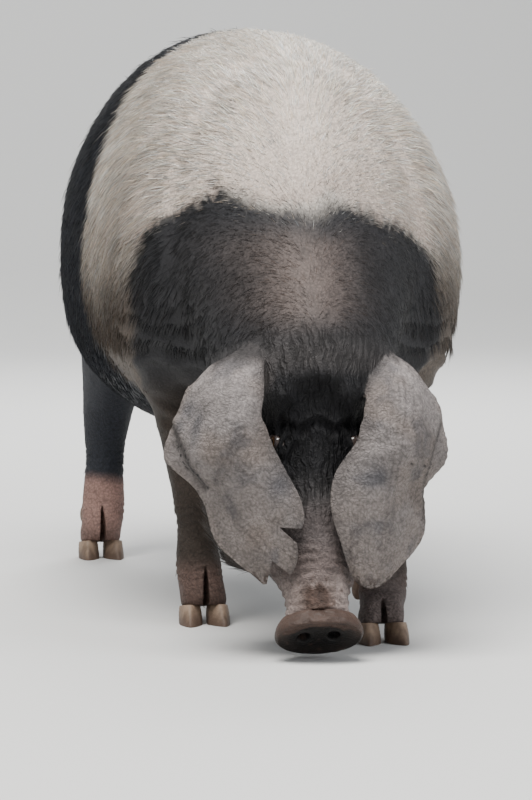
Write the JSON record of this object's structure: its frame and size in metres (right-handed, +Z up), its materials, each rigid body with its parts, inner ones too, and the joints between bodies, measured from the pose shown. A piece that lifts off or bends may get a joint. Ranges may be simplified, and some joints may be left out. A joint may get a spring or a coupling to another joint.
{
  "type": "domestic pig",
  "caption": "A mature lop-eared saddleback sow, life size, rooting with her head down and her ears hanging over her face; a still model.",
  "frame": {"origin": "on the floor, under the middle of the bounding box", "axes": "+Z up, +Y from the snout to the tail, +X to the pig's left"},
  "size_m": [0.5294, 1.4226, 0.8228],
  "materials": {
    "saddle_skin": "cream-white bristles over skin",
    "neck_skin": "dark grey-brown bristles over skin",
    "face_skin": "dark grey wrinkled skin with short hair",
    "ear_skin": "warm grey finely wrinkled skin",
    "foreleg_skin": "pale skin with dried dirt",
    "dark_skin": "black bristles over skin",
    "snout": "pinkish-brown, with cracked dried mud",
    "horn": "dull pinkish horn",
    "eye": "wet and dark"
  },
  "bodies": {
    "root": {"claw_inner_front_left": "horn", "claw_inner_front_right": "horn", "claw_inner_hind_left": "horn", "claw_inner_hind_right": "horn", "claw_outer_front_left": "horn", "claw_outer_front_right": "horn", "claw_outer_hind_left": "horn", "claw_outer_hind_right": "horn", "dewclaw_inner_front_left": "horn", "dewclaw_inner_front_right": "horn", "dewclaw_inner_hind_left": "horn", "dewclaw_inner_hind_right": "horn", "dewclaw_outer_front_left": "horn", "dewclaw_outer_front_right": "horn", "dewclaw_outer_hind_left": "horn", "dewclaw_outer_hind_right": "horn", "ear_left": "ear_skin", "ear_right": "ear_skin", "eye_left": "eye", "eye_right": "eye", "head": "face_skin", "leg_front_left": "foreleg_skin", "leg_front_right": "foreleg_skin", "leg_hind_left": "dark_skin", "leg_hind_right": "dark_skin", "neck": "neck_skin", "snout_disc": "snout", "tail": "dark_skin", "torso": "saddle_skin"}
  },
  "joints": []
}
